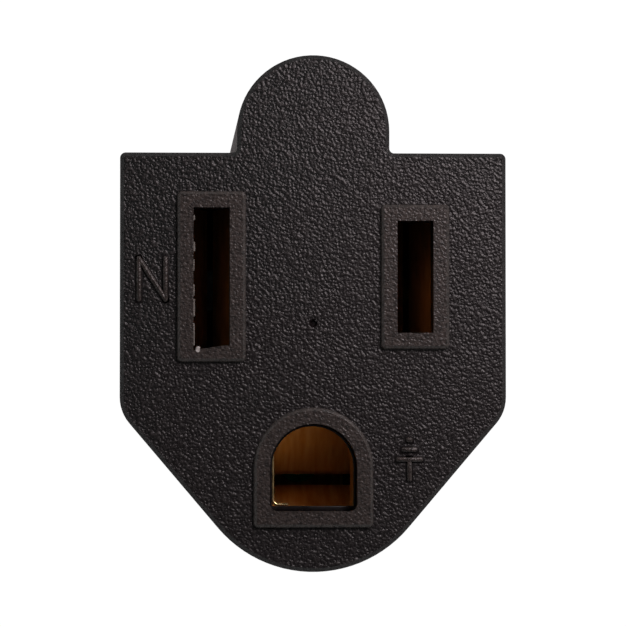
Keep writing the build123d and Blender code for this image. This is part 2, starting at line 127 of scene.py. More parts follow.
def apply_modifiers(piece):
    """Applies every modifier of a piece in order."""
    select_only(piece)
    for modifier in list(piece.modifiers):
        bpy.ops.object.modifier_apply(modifier=modifier.name)


class MouldingLooks(bpy.types.PropertyGroup):
    face_colour: bpy.props.FloatVectorProperty(
        name="Face colour",
        description="Colour of the black moulding on its grained faces",
        subtype="COLOR", size=3, min=0, max=1, default=linear("#130e0f"),
    )
    bloom_colour: bpy.props.FloatVectorProperty(
        name="Bloom colour",
        description="Colour of the grained faces where the plastic has a cooler, greyer bloom",
        subtype="COLOR", size=3, min=0, max=1, default=linear("#0c0d0d"),
    )
    fleck_colour: bpy.props.FloatVectorProperty(
        name="Fleck colour",
        description="Colour of the tips of the grain, where the plastic is rubbed",
        subtype="COLOR", size=3, min=0, max=1, default=linear("#2c2828"),
    )
    rim_colour: bpy.props.FloatVectorProperty(
        name="Rim colour",
        description="Colour of the smooth raised rims and marks",
        subtype="COLOR", size=3, min=0, max=1, default=linear("#37302d"),
    )
    grain: bpy.props.FloatProperty(
        name="Grain",
        description="Spacing of the pits of the spark-eroded surface",
        subtype="DISTANCE", unit="LENGTH", min=0.00005, default=0.16 * MM,
    )
    grain_depth: bpy.props.FloatProperty(
        name="Grain depth",
        description="Depth of the pits of the spark-eroded surface",
        subtype="DISTANCE", unit="LENGTH", min=0, default=0.06 * MM,
    )
    bloom_size: bpy.props.FloatProperty(
        name="Bloom size",
        description="Size of the patches of bloom",
        subtype="DISTANCE", unit="LENGTH", min=0.001, default=7 * MM,
    )
    # The pale grey of the flash is partly painted highlight along the slot's edge.
    flash_highlight_colour: bpy.props.FloatVectorProperty(
        name="Flash colour",
        description="Colour of the thin flash along the neutral slot",
        subtype="COLOR", size=3, min=0, max=1, default=linear("#7a756f"),
    )
    # The near white at the torn corner is painted highlight, standing in for the glint on the curled
    # flash.
    torn_highlight_colour: bpy.props.FloatVectorProperty(
        name="Torn colour",
        description="Colour of the flash where it was torn and stretched white",
        subtype="COLOR", size=3, min=0, max=1, default=linear("#b4b0ac"),
    )


class MarkSizes(bpy.types.PropertyGroup):
    neutral_width: bpy.props.FloatProperty(
        name="Neutral mark width", description="Width of the letter beside the neutral slot",
        subtype="DISTANCE", unit="LENGTH", min=0.0005, default=1.95 * MM,
    )
    neutral_height: bpy.props.FloatProperty(
        name="Neutral mark height", description="Height of the letter beside the neutral slot",
        subtype="DISTANCE", unit="LENGTH", min=0.0005, default=2.84 * MM,
    )
    earth_width: bpy.props.FloatProperty(
        name="Earth mark width", description="Length of the longest bar of the earth sign",
        subtype="DISTANCE", unit="LENGTH", min=0.0005, default=1.7 * MM,
    )
    earth_height: bpy.props.FloatProperty(
        name="Earth mark height", description="Height of the earth sign with its stem",
        subtype="DISTANCE", unit="LENGTH", min=0.0005, default=2.74 * MM,
    )
    stroke: bpy.props.FloatProperty(
        name="Stroke", description="Width of a stroke of the marks",
        subtype="DISTANCE", unit="LENGTH", min=0.0001, default=0.3 * MM,
    )
    relief: bpy.props.FloatProperty(
        name="Relief", description="Height of the marks above the face",
        subtype="DISTANCE", unit="LENGTH", min=0.00005, default=0.18 * MM,
    )
    # The border is a thin dark sheet of painted shade round each stroke, standing in for the shade at
    # the marks' feet.
    shade_border: bpy.props.FloatProperty(
        name="Border", description="Width of the smooth border round the strokes",
        subtype="DISTANCE", unit="LENGTH", min=0, default=0.1 * MM,
    )
    shade_border_relief: bpy.props.FloatProperty(
        name="Border relief", description="Height of the smooth border above the face",
        subtype="DISTANCE", unit="LENGTH", min=0.000005, default=0.015 * MM,
    )


class MetalLooks(bpy.types.PropertyGroup):
    bronze_colour: bpy.props.FloatVectorProperty(
        name="Bronze colour", description="Colour of the clean contact strip",
        subtype="COLOR", size=3, min=0, max=1, default=linear("#f6d99f"),
    )
    tarnish_colour: bpy.props.FloatVectorProperty(
        name="Tarnish colour", description="Colour of the streaks left by rolling and handling",
        subtype="COLOR", size=3, min=0, max=1, default=linear("#d9ab70"),
    )
    zinc_colour: bpy.props.FloatVectorProperty(
        name="Zinc colour", description="Colour of the plated screws, nuts and clamp plates",
        subtype="COLOR", size=3, min=0, max=1, default=linear("#b9b7ae"),
    )
    line_colour: bpy.props.FloatVectorProperty(
        name="Line screw colour", description="Colour of the brass screw of the line terminal",
        subtype="COLOR", size=3, min=0, max=1, default=linear("#c9a04a"),
    )
    ground_colour: bpy.props.FloatVectorProperty(
        name="Ground screw colour", description="Colour of the green screw of the ground terminal",
        subtype="COLOR", size=3, min=0, max=1, default=linear("#2f7a45"),
    )
    thread_pitch: bpy.props.FloatProperty(
        name="Thread pitch", description="Pitch of the thread that shows between the clamp's jaws",
        subtype="DISTANCE", unit="LENGTH", min=0.0001, default=0.45 * MM,
    )


class InsulatorLooks(bpy.types.PropertyGroup):
    retainer_colour: bpy.props.FloatVectorProperty(
        name="Retainer colour", description="Colour of the plate that holds the contacts",
        subtype="COLOR", size=3, min=0, max=1, default=linear("#4b4742"),
    )
    rubber_colour: bpy.props.FloatVectorProperty(
        name="Rubber colour", description="Colour of the cord grommet",
        subtype="COLOR", size=3, min=0, max=1, default=linear("#121212"),
    )


class StudioSettings(bpy.types.PropertyGroup):
    floor_colour: bpy.props.FloatVectorProperty(
        name="Floor colour", description="Colour of the floor",
        subtype="COLOR", size=3, min=0, max=1, default=linear("#f6f6f4"),
    )
    camera_height: bpy.props.FloatProperty(
        name="Camera height", description="Height of the camera above the face",
        subtype="DISTANCE", unit="LENGTH", min=0.1, default=0.2,
    )
    camera_aside: bpy.props.FloatVectorProperty(
        name="Camera aside",
        description="How far the camera stands to the left of and below the face's middle",
        subtype="TRANSLATION", unit="LENGTH", size=2, default=(-9 * MM, -6 * MM),
    )
    view_width: bpy.props.FloatProperty(
        name="View width", description="Width of the picture at the height of the face",
        subtype="DISTANCE", unit="LENGTH", min=0.01, default=39.06 * MM,
    )
    ceiling_strength: bpy.props.FloatProperty(
        name="Ceiling strength",
        description="Brightness of the studio above the object, where its walls are 1",
        min=0, default=0.05,
    )
    key_power: bpy.props.FloatProperty(
        name="Key power", description="Power of the soft lamp at the upper right",
        subtype="POWER", unit="POWER", min=0, default=0.052,
    )
    key_place: bpy.props.FloatVectorProperty(
        name="Key place", description="Place of the soft lamp at the upper right",
        subtype="TRANSLATION", unit="LENGTH", size=3, default=(0.042, 0.046, 0.112),
    )
    key_size: bpy.props.FloatProperty(
        name="Key size", description="Width of the round soft lamp",
        subtype="DISTANCE", unit="LENGTH", min=0.001, default=0.03,
    )
    key_colour: bpy.props.FloatVectorProperty(
        name="Key colour", description="Colour of the soft lamp, slightly warm",
        subtype="COLOR", size=3, min=0, max=1, default=(1.0, 0.88, 0.9),
    )


def eroded_plastic(looks):
    # Spark-eroded black ABS: the mould's pits leave a matt grain with fine glints, and the
    # rims, which were polished in the mould, are smoother and a little browner. The grain is
    # close to its real size, about 0.16 mm.
    material, tree = new_material("spark_eroded_black_abs")
    place = add_node(tree, "ShaderNodeTexCoord").outputs["Object"]
    pits = add_node(
        tree, "ShaderNodeTexVoronoi",
        (("Vector", place), ("Scale", 1 / looks.grain), ("Randomness", 1.0)),
        feature="SMOOTH_F1",
    )
    crumbs = add_node(
        tree, "ShaderNodeTexNoise",
        (("Vector", place), ("Scale", 0.9 / looks.grain), ("Detail", 2.0), ("Roughness", 0.5)),
    )
    grain = add_node(
        tree, "ShaderNodeMath",
        ((0, pits.outputs["Distance"]), (1, crumbs.outputs["Fac"])),
        operation="ADD",
    )
    height = add_node(tree, "ShaderNodeSeparateXYZ", (("Vector", place),)).outputs["Z"]
    above_face = add_node(
        tree, "ShaderNodeMapRange",
        (
            ("Value", height),
            ("From Min", FACE_Z + 0.005 * MM),
            ("From Max", FACE_Z + 0.04 * MM),
            ("To Min", 0.0),
            ("To Max", 1.0),
        ),
    ).outputs["Result"]
    rubbed = add_node(
        tree, "ShaderNodeMapRange",
        (
            ("Value", grain.outputs["Value"]),
            ("From Min", 0.85),
            ("From Max", 1.3),
            ("To Min", 0.0),
            ("To Max", 1.0),
        ),
    )
    # The bloom lies in broad patches, and more of it towards the lobe and the neutral side.
    patches = add_node(
        tree, "ShaderNodeTexNoise",
        (("Vector", place), ("Scale", 1 / looks.bloom_size), ("Detail", 2.0), ("Roughness", 0.5)),
    )
    leaning = add_node(
        tree, "ShaderNodeVectorMath",
        ((0, place), (1, (-BLOOM_LEAN, BLOOM_LEAN, 0.0))),
        operation="DOT_PRODUCT",
    )
    bloom_amount = add_node(
        tree, "ShaderNodeMath",
        ((0, patches.outputs["Fac"]), (1, leaning.outputs["Value"])),
        operation="ADD",
    )
    bloom = add_node(
        tree, "ShaderNodeMapRange",
        (
            ("Value", bloom_amount.outputs["Value"]),
            ("From Min", 0.5),
            ("From Max", 0.85),
            ("To Min", 0.0),
            ("To Max", 1.0),
        ),
    )
    clean_colour = add_node(
        tree, "ShaderNodeMix",
        (
            (0, bloom.outputs["Result"]),
            (6, opaque(looks.face_colour)),
            (7, opaque(looks.bloom_colour)),
        ),
        data_type="RGBA",
    )
    grained_colour = add_node(
        tree, "ShaderNodeMix",
        (
            (0, rubbed.outputs["Result"]),
            (6, clean_colour.outputs[2]),
            (7, opaque(looks.fleck_colour)),
        ),
        data_type="RGBA",
    )
    rim_wear = add_node(
        tree, "ShaderNodeTexNoise",
        (("Vector", place), ("Scale", 0.8 / looks.grain), ("Detail", 4.0), ("Roughness", 0.7)),
    )
    rim_wear_amount = add_node(
        tree, "ShaderNodeMapRange",
        (
            ("Value", rim_wear.outputs["Fac"]),
            ("From Min", 0.35),
            ("From Max", 0.65),
            ("To Min", 0.0),
            ("To Max", 1.0),
        ),
    )
    rim_shade = add_node(
        tree, "ShaderNodeMix",
        (
            (0, rim_wear_amount.outputs["Result"]),
            (6, opaque([0.3 * part for part in looks.rim_colour])),
            (7, opaque([1.6 * part for part in looks.rim_colour])),
        ),
        data_type="RGBA",
    )
    moulded_colour = add_node(
        tree, "ShaderNodeMix",
        ((0, above_face), (6, grained_colour.outputs[2]), (7, rim_shade.outputs[2])),
        data_type="RGBA",
    )
    # Painted highlight: the rim is painted near white in a small spot at the torn corner, standing in
    # for the glint there.
    from_tear = add_node(
        tree, "ShaderNodeVectorMath", ((0, place), (1, TORN_CORNER)), operation="DISTANCE"
    )
    painted_highlight = add_node(
        tree, "ShaderNodeMapRange",
        (
            ("Value", from_tear.outputs["Value"]),
            ("From Min", 0.7 * TEAR_RADIUS),
            ("From Max", TEAR_RADIUS),
            ("To Min", 1.0),
            ("To Max", 0.0),
        ),
    )
    colour = add_node(
        tree, "ShaderNodeMix",
        (
            (0, painted_highlight.outputs["Result"]),
            (6, moulded_colour.outputs[2]),
            (7, opaque(looks.torn_highlight_colour)),
        ),
        data_type="RGBA",
    )
    # The rims carry a finer, shallower grain than the face.
    rim_grain = add_node(
        tree, "ShaderNodeTexNoise",
        (("Vector", place), ("Scale", 0.9 / looks.grain), ("Detail", 1.0), ("Roughness", 0.5)),
    )
    relief = add_node(
        tree, "ShaderNodeMix",
        ((0, above_face), (2, grain.outputs["Value"]), (3, rim_grain.outputs["Fac"])),
        data_type="FLOAT",
    )
    # Where the gate was sheared off, the plastic is smooth, and the pit looks black.
    from_gate = add_node(
        tree, "ShaderNodeVectorMath", ((0, place), (1, GATE)), operation="DISTANCE"
    )
    off_gate = add_node(
        tree, "ShaderNodeMapRange",
        (
            ("Value", from_gate.outputs["Value"]),
            ("From Min", GATE_RADIUS),
            ("From Max", 1.2 * GATE_RADIUS),
            ("To Min", 0.0),
            ("To Max", 1.0),
        ),
    )
    gloss = add_node(
        tree, "ShaderNodeMapRange",
        (
            ("Value", off_gate.outputs["Result"]),
            ("From Min", 0.0),
            ("From Max", 1.0),
            ("To Min", 0.08),
            ("To Max", 0.4),
        ),
    )
    bump = add_node(
        tree, "ShaderNodeBump",
        (
            ("Height", relief.outputs[0]),
            ("Distance", looks.grain_depth),
            ("Strength", off_gate.outputs["Result"]),
        ),
    )
    plastic = add_node(
        tree, "ShaderNodeBsdfPrincipled",
        (
            ("Base Color", colour.outputs[2]),
            ("Roughness", gloss.outputs["Result"]),
            ("IOR", 1.5),
            ("Normal", bump.outputs["Normal"]),
        ),
    )
    add_node(tree, "ShaderNodeOutputMaterial", (("Surface", plastic.outputs["BSDF"]),))
    return material


def plain_moulding(name, colour, grain, depth, roughness):
    """A matt moulded surface with a fine even grain and slightly uneven gloss."""
    material, tree = new_material(name)
    place = add_node(tree, "ShaderNodeTexCoord").outputs["Object"]
    grain_noise = add_node(
        tree, "ShaderNodeTexNoise",
        (("Vector", place), ("Scale", 1 / grain), ("Detail", 3.0), ("Roughness", 0.6)),
    )
    gloss = add_node(
        tree, "ShaderNodeMapRange",
        (
            ("Value", grain_noise.outputs["Fac"]),
            ("From Min", 0.3),
            ("From Max", 0.7),
            ("To Min", roughness - 0.06),
            ("To Max", roughness + 0.06),
        ),
    )
    shade = add_node(
        tree, "ShaderNodeMix",
        (
            (0, grain_noise.outputs["Fac"]),
            (6, opaque([0.75 * part for part in colour])),
            (7, opaque([min(1.0, 1.25 * part) for part in colour])),
        ),
        data_type="RGBA",
    )
    bump = add_node(
        tree, "ShaderNodeBump",
        (("Height", grain_noise.outputs["Fac"]), ("Distance", depth), ("Strength", 1.0)),
    )
    surface = add_node(
        tree, "ShaderNodeBsdfPrincipled",
        (
            ("Base Color", shade.outputs[2]),
            ("Roughness", gloss.outputs["Result"]),
            ("IOR", 1.5),
            ("Normal", bump.outputs["Normal"]),
        ),
    )
    add_node(tree, "ShaderNodeOutputMaterial", (("Surface", surface.outputs["BSDF"]),))
    return material


def torn_plastic(looks):
    # Torn black ABS flash: its pale grey is partly its own dull finish and partly painted highlight
    # along the slot's edge, and near the torn corner it is painted near white, a painted highlight on
    # the curl.
    material, tree = new_material("torn_flash_painted_highlight")
    place = add_node(tree, "ShaderNodeTexCoord").outputs["Object"]
    from_tear = add_node(
        tree, "ShaderNodeVectorMath", ((0, place), (1, TORN_CORNER)), operation="DISTANCE"
    )
    painted_highlight = add_node(
        tree, "ShaderNodeMapRange",
        (
            ("Value", from_tear.outputs["Value"]),
            ("From Min", 1.8 * TEAR_RADIUS),
            ("From Max", 2.5 * TEAR_RADIUS),
            ("To Min", 1.0),
            ("To Max", 0.0),
        ),
    )
    colour = add_node(
        tree, "ShaderNodeMix",
        (
            (0, painted_highlight.outputs["Result"]),
            (6, opaque(looks.flash_highlight_colour)),
            (7, opaque(looks.torn_highlight_colour)),
        ),
        data_type="RGBA",
    )
    ragged = add_node(
        tree, "ShaderNodeTexNoise",
        (("Vector", place), ("Scale", 1 / (0.12 * MM)), ("Detail", 3.0), ("Roughness", 0.6)),
    )
    bump = add_node(
        tree, "ShaderNodeBump",
        (("Height", ragged.outputs["Fac"]), ("Distance", 0.04 * MM), ("Strength", 1.0)),
    )
    surface = add_node(
        tree, "ShaderNodeBsdfPrincipled",
        (
            ("Base Color", colour.outputs[2]),
            ("Roughness", 0.4),
            ("IOR", 1.5),
            ("Normal", bump.outputs["Normal"]),
        ),
    )
    add_node(tree, "ShaderNodeOutputMaterial", (("Surface", surface.outputs["BSDF"]),))
    return material


def streaked_metal(name, colour, streak_colour, streak, stretch, roughness):
    """A bare metal whose streaks run across X and whose gloss follows them."""
    material, tree = new_material(name)
    place = add_node(tree, "ShaderNodeTexCoord").outputs["Object"]
    drawn_out = add_node(
        tree, "ShaderNodeMapping",
        (("Vector", place), ("Scale", (1.0, 1 / stretch, 1 / stretch))),
    )
    streaks = add_node(
        tree, "ShaderNodeTexNoise",
        (
            ("Vector", drawn_out.outputs["Vector"]),
            ("Scale", 1 / streak),
            ("Detail", 3.0),
            ("Roughness", 0.5),
        ),
    )
    shade_amount = add_node(
        tree, "ShaderNodeMapRange",
        (
            ("Value", streaks.outputs["Fac"]),
            ("From Min", 0.2),
            ("From Max", 0.8),
            ("To Min", 0.0),
            ("To Max", 1.0),
        ),
    )
    shade = add_node(
        tree, "ShaderNodeMix",
        ((0, shade_amount.outputs["Result"]), (6, opaque(colour)), (7, opaque(streak_colour))),
        data_type="RGBA",
    )
    gloss = add_node(
        tree, "ShaderNodeMapRange",
        (
            ("Value", streaks.outputs["Fac"]),
            ("From Min", 0.3),
            ("From Max", 0.7),
            ("To Min", roughness - 0.08),
            ("To Max", roughness + 0.08),
        ),
    )
    bump = add_node(
        tree, "ShaderNodeBump",
        (("Height", streaks.outputs["Fac"]), ("Distance", 0.01 * MM), ("Strength", 0.6)),
    )
    surface = add_node(
        tree, "ShaderNodeBsdfPrincipled",
        (
            ("Base Color", shade.outputs[2]),
            ("Metallic", 1.0),
            ("Roughness", gloss.outputs["Result"]),
            ("Normal", bump.outputs["Normal"]),
        ),
    )
    add_node(tree, "ShaderNodeOutputMaterial", (("Surface", surface.outputs["BSDF"]),))
    return material


class CONNECTOR_OT_mouldings(bpy.types.Operator):
    """Gives the three black mouldings their spark-eroded plastic"""

    bl_idname = "connector.mouldings"
    bl_label = "Dress the mouldings"

    def execute(self, context):
        plastic = eroded_plastic(context.scene.moulding_looks)
        for node_name in ("front_body", "rear_cap", "cord_saddle"):
            dress(node_name, plastic)
        return {"FINISHED"}


def bar(ends, width, relief):
    """A raised bar between two points of the face, half sunk into it, with a rounded back."""
    start, end = (Vector((*place, 0)) for place in ends)
    run = end - start
    bpy.ops.object.select_all(action="DESELECT")
    bpy.ops.mesh.primitive_cube_add(
        size=1, location=(start + end) / 2, rotation=(0, 0, math.atan2(run.y, run.x))
    )
    stroke = bpy.context.object
    stroke.scale = (run.length + width, width, 2 * relief)
    bpy.ops.object.transform_apply(location=True, rotation=True, scale=True)
    back = stroke.modifiers.new("rounded_back", "BEVEL")
    back.width = min(0.45 * width, 0.9 * relief)
    back.segments = 3
    apply_modifiers(stroke)
    bpy.ops.object.shade_smooth_by_angle(angle=math.radians(50))
    return stroke


def raised_mark(name, centre, strokes, width, relief, material):
    """Joins the bars of one mark and sets them on the face."""
    bars = [bar(ends, width, relief) for ends in strokes]
    bpy.ops.object.select_all(action="DESELECT")
    for stroke in bars:
        stroke.select_set(True)
    bpy.context.view_layer.objects.active = bars[0]
    bpy.ops.object.join()
    mark = bpy.context.object
    mark.location = (*centre, FACE_Z)
    finish_piece(mark, name, material)


class CONNECTOR_OT_marks(bpy.types.Operator):
    """Raises the neutral letter and the earth sign on the face"""

    bl_idname = "connector.marks"
    bl_label = "Raise the marks"

    def execute(self, context):
        sizes = context.scene.mark_sizes
        ridge = bpy.data.materials["spark_eroded_black_abs"]
        # Smooth black ABS. Round each mark it is laid as a thin dark border, a sheet of painted shade
        # standing in for the shade at the marks' feet.
        shade_border = plain_moulding(
            "smooth_black_abs_and_painted_shade", context.scene.moulding_looks.face_colour, 0.4 * MM, 0.002 * MM, 0.3
        )
        # Both marks are upright when the ground hole is at the top.
        across = (sizes.neutral_width - sizes.stroke) / 2
        up = (sizes.neutral_height - sizes.stroke) / 2
        letter = (
            ((-across, -up), (-across, up)),
            ((across, -up), (across, up)),
            ((-across, up), (across, -up)),
        )
        half_height = (sizes.earth_height - sizes.stroke) / 2
        sign = [((0, -half_height), (0, 0))]
        for row, share in enumerate((1.0, 0.6, 0.25)):
            reach = (share * sizes.earth_width - sizes.stroke) / 2
            sign.append(((-reach, row * half_height / 2), (reach, row * half_height / 2)))
        marks = (
            ("neutral_mark", NEUTRAL_MARK_PLACE, letter),
            ("earth_mark", EARTH_MARK_PLACE, sign),
        )
        for name, centre, strokes in marks:
            raised_mark(name, centre, strokes, sizes.stroke, sizes.relief, ridge)
            # Each mark also gets a thin dark border sheet, painted shade at its feet.
            raised_mark(
                f"{name}_border", centre, strokes,
                sizes.stroke + 2 * sizes.shade_border, sizes.shade_border_relief, shade_border,
            )
        return {"FINISHED"}


class CONNECTOR_OT_flash(bpy.types.Operator):
    """Leaves the ragged flash along the neutral slot and the curl at its torn corner"""

    bl_idname = "connector.flash"
    bl_label = "Leave the flash"

    def execute(self, context):
        plastic = torn_plastic(context.scene.moulding_looks)
        # Each sliver has its middle and length along the slot, and its width across it.
        slivers = (
            (5.9 * MM, 0.3 * MM, 0.11 * MM),
            (4.1 * MM, 0.6 * MM, 0.13 * MM),
            (2.95 * MM, 0.7 * MM, 0.08 * MM),
            (1.4 * MM, 0.7 * MM, 0.08 * MM),
            (0.3 * MM, 1.1 * MM, 0.12 * MM),
            (-1.35 * MM, 1.4 * MM, 0.11 * MM),
        )
        top = FACE_Z + RIM_HEIGHT - 0.02 * MM
        for number, (middle, length, width) in enumerate(slivers, start=1):
            bpy.ops.object.select_all(action="DESELECT")
            bpy.ops.mesh.primitive_cube_add(
                size=1, location=(NEUTRAL_SLOT_LEFT + width / 4, middle, top - width / 2)
            )
            sliver = context.object
            sliver.scale = (width, length, width)
            bpy.ops.object.transform_apply(location=True, rotation=True, scale=True)
            bpy.ops.object.mode_set(mode="EDIT")
            bpy.ops.mesh.select_all(action="SELECT")
            bpy.ops.mesh.subdivide(number_cuts=4)
            bpy.ops.transform.vertex_random(offset=0.2 * width, seed=number)
            bpy.ops.object.mode_set(mode="OBJECT")
            soften = sliver.modifiers.new("soften", "SUBSURF")
            soften.levels = soften.render_levels = 1
            apply_modifiers(sliver)
            bpy.ops.object.shade_smooth()
            finish_piece(sliver, f"slot_flash_{number}", plastic)

        # The curl lies where the flash material is painted near white, so it shows as a painted
        # highlight.
        bpy.ops.object.select_all(action="DESELECT")
        bpy.ops.mesh.primitive_ico_sphere_add(
            subdivisions=3, radius=TEAR_RADIUS, rotation=(0, 0, math.radians(40)),
            location=TORN_CORNER + Vector((-0.02 * MM, 0.1 * MM, -1.1 * TEAR_RADIUS)),
        )
        curl = context.object
        curl.scale = (1.25, 0.85, 0.9)
        bpy.ops.object.transform_apply(location=True, rotation=True, scale=True)
        bpy.ops.object.mode_set(mode="EDIT")
        bpy.ops.mesh.select_all(action="SELECT")
        bpy.ops.transform.vertex_random(offset=0.02 * MM, seed=7)
        bpy.ops.object.mode_set(mode="OBJECT")
        bpy.ops.object.shade_smooth()
        finish_piece(curl, "torn_curl", plastic)
        return {"FINISHED"}


class CONNECTOR_OT_ground_hole(bpy.types.Operator):
    """Adds the lip and the sill inside the ground hole and the bright burr on its contact's edge"""

    bl_idname = "connector.ground_hole"
    bl_label = "Finish the ground hole"

    def execute(self, context):
        smooth_plastic = bpy.data.materials["smooth_black_abs_and_painted_shade"]
        foot = GROUND_HOLE_Y - GROUND_HOLE_HALF
        lip_height = 0.24 * MM
        lip_depth = 0.17 * MM
        sill_depth = 0.3 * MM
        lip_z = COLLAR_EDGE_Z + 0.01 * MM + lip_height / 2

        bpy.ops.object.select_all(action="DESELECT")
        bpy.ops.mesh.primitive_cube_add(size=1, location=(0, foot + sill_depth / 2, lip_z))
        sill = context.object
        sill.scale = (2 * GROUND_HOLE_HALF, sill_depth, lip_height)

        # The lip is a bar taken up the line side, round the arch and down the neutral side. It is
        # a little thinner than the sill, so that their faces stay apart where they cross.
        lip_foot = foot + sill_depth / 2
        lip_rise = GROUND_HOLE_Y - lip_foot
        bpy.ops.object.select_all(action="DESELECT")
        bpy.ops.mesh.primitive_plane_add(
            size=1, location=(GROUND_HOLE_HALF - lip_depth / 2, lip_foot, lip_z),
            rotation=(math.radians(90), 0, 0),
        )
        lip = context.object
        lip.scale = (lip_depth, 0.95 * lip_height, 1)
        bpy.ops.object.transform_apply(location=True, rotation=True, scale=True)
        bpy.ops.object.mode_set(mode="EDIT")
        bpy.ops.mesh.select_all(action="SELECT")
        bpy.ops.mesh.extrude_region_move(TRANSFORM_OT_translate={"value": (0, lip_rise, 0)})
        bpy.ops.mesh.spin(
            steps=40, angle=math.radians(-180), center=(0, GROUND_HOLE_Y, lip_z), axis=(0, 0, 1)
        )
        bpy.ops.mesh.extrude_region_move(TRANSFORM_OT_translate={"value": (0, -lip_rise, 0)})
        bpy.ops.mesh.select_all(action="SELECT")
        bpy.ops.mesh.remove_doubles(threshold=MERGE_DISTANCE)
        bpy.ops.mesh.normals_make_consistent(inside=False)
        bpy.ops.object.mode_set(mode="OBJECT")
        for piece, name in ((sill, "ground_hole_sill"), (lip, "ground_hole_lip")):
            select_only(piece)
            bpy.ops.object.transform_apply(location=True, rotation=True, scale=True)
            rounding = piece.modifiers.new("rounding", "BEVEL")
            rounding.width = 0.25 * lip_height
            rounding.segments = 3
            apply_modifiers(piece)
            bpy.ops.object.shade_smooth_by_angle(angle=math.radians(50))
            finish_piece(piece, name, smooth_plastic)

        # The burr runs along the contact's inner edge, down its left side and round the corner.
        burr_radius = 0.085 * MM
        burr_x = -GROUND_HOLE_HALF + lip_depth + 0.7 * burr_radius
        burr_top = GROUND_HOLE_Y + 0.8 * MM
        corner_radius = 0.35 * MM
        corner = Vector((
            burr_x + corner_radius,
            foot + sill_depth + burr_radius + corner_radius,
            COLLAR_EDGE_Z,
        ))
        # Sheared bronze: the punch left a bright burnished edge.
        burnished = streaked_metal(
            "burnished_bronze_edge", context.scene.metal_looks.bronze_colour,
            context.scene.metal_looks.bronze_colour, 0.3 * MM, 2.0, 0.3,
        )
        bpy.ops.object.select_all(action="DESELECT")
        bpy.ops.mesh.primitive_circle_add(
            vertices=10, radius=burr_radius, fill_type="NGON",
            location=(burr_x, burr_top, COLLAR_EDGE_Z), rotation=(math.radians(90), 0, 0),
        )
        burr = context.object
        bpy.ops.object.transform_apply(location=True, rotation=True, scale=True)
        bpy.ops.object.mode_set(mode="EDIT")
        bpy.ops.mesh.select_all(action="SELECT")
        side_steps = 8
        for _ in range(side_steps):
            bpy.ops.mesh.extrude_region_move(
                TRANSFORM_OT_translate={"value": (0, (corner.y - burr_top) / side_steps, 0)}
            )
        bpy.ops.mesh.spin(steps=6, angle=math.radians(-90), center=corner, axis=(0, 0, 1))
        foot_steps = 3
        for _ in range(foot_steps):
            bpy.ops.mesh.extrude_region_move(TRANSFORM_OT_translate={"value": (0.2 * MM, 0, 0)})
        bpy.ops.mesh.select_all(action="SELECT")
        bpy.ops.mesh.remove_doubles(threshold=MERGE_DISTANCE)
        bpy.ops.transform.vertex_random(offset=0.012 * MM, seed=3)
        bpy.ops.mesh.normals_make_consistent(inside=False)
        bpy.ops.object.mode_set(mode="OBJECT")
        bpy.ops.object.shade_smooth_by_angle(angle=math.radians(60))
        finish_piece(burr, "ground_collar_burr", burnished)
        return {"FINISHED"}


class CONNECTOR_OT_contacts(bpy.types.Operator):
    """Gives the folded contacts their tarnished bronze, and the blade contacts a darker copy of it as
    painted shade
    """

    bl_idname = "connector.contacts"
    bl_label = "Dress the contacts"

    def execute(self, context):
        looks = context.scene.metal_looks
        # Phosphor bronze strip: rolling leaves long streaks, and air leaves brown tarnish.
        bronze = streaked_metal(
            "rolled_phosphor_bronze", looks.bronze_colour, looks.tarnish_colour, 0.4 * MM, 8.0, 0.55
        )
        dress("ground_contact", bronze)
        # Painted shade: the blade contacts get a darker, duller copy of the bronze, standing in for the
        # shade deep in the slots.
        shaded_bronze = streaked_metal(
            "phosphor_bronze_painted_shade", looks.tarnish_colour,
            [0.6 * part for part in looks.tarnish_colour], 0.4 * MM, 8.0, 0.75,
        )
        for pole in ("neutral", "line"):
            dress(f"{pole}_contact", shaded_bronze)
        return {"FINISHED"}


class CONNECTOR_OT_terminals(bpy.types.Operator):
    """Gives the screws, nuts and clamp plates their plating"""

    bl_idname = "connector.terminals"
    bl_label = "Dress the terminals and screws"

    def execute(self, context):
        looks = context.scene.metal_looks
        finishes = (
            # Zinc plated steel: a pale metal, slightly clouded where the plating is thin.
            ("zinc_plated_steel", looks.zinc_colour, (
                "neutral_wire_clamp", "line_wire_clamp", "ground_wire_clamp",
                "neutral_terminal_screw", "assembly_screw",
                "left_clamp_screw", "right_clamp_screw", "left_clamp_nut", "right_clamp_nut",
            )),
            # Brass: yellow and a little brighter than the contacts.
            ("turned_brass", looks.line_colour, ("line_terminal_screw",)),
            # Green dyed zinc plating: the metal shows through the dye.
            ("green_dyed_zinc", looks.ground_colour, ("ground_terminal_screw",)),
        )
        for name, colour, node_names in finishes:
            darker = [0.7 * part for part in colour]
            plating = streaked_metal(name, colour, darker, 0.6 * MM, 1.5, 0.34)
            for node_name in node_names:
                dress(node_name, plating)
        return {"FINISHED"}


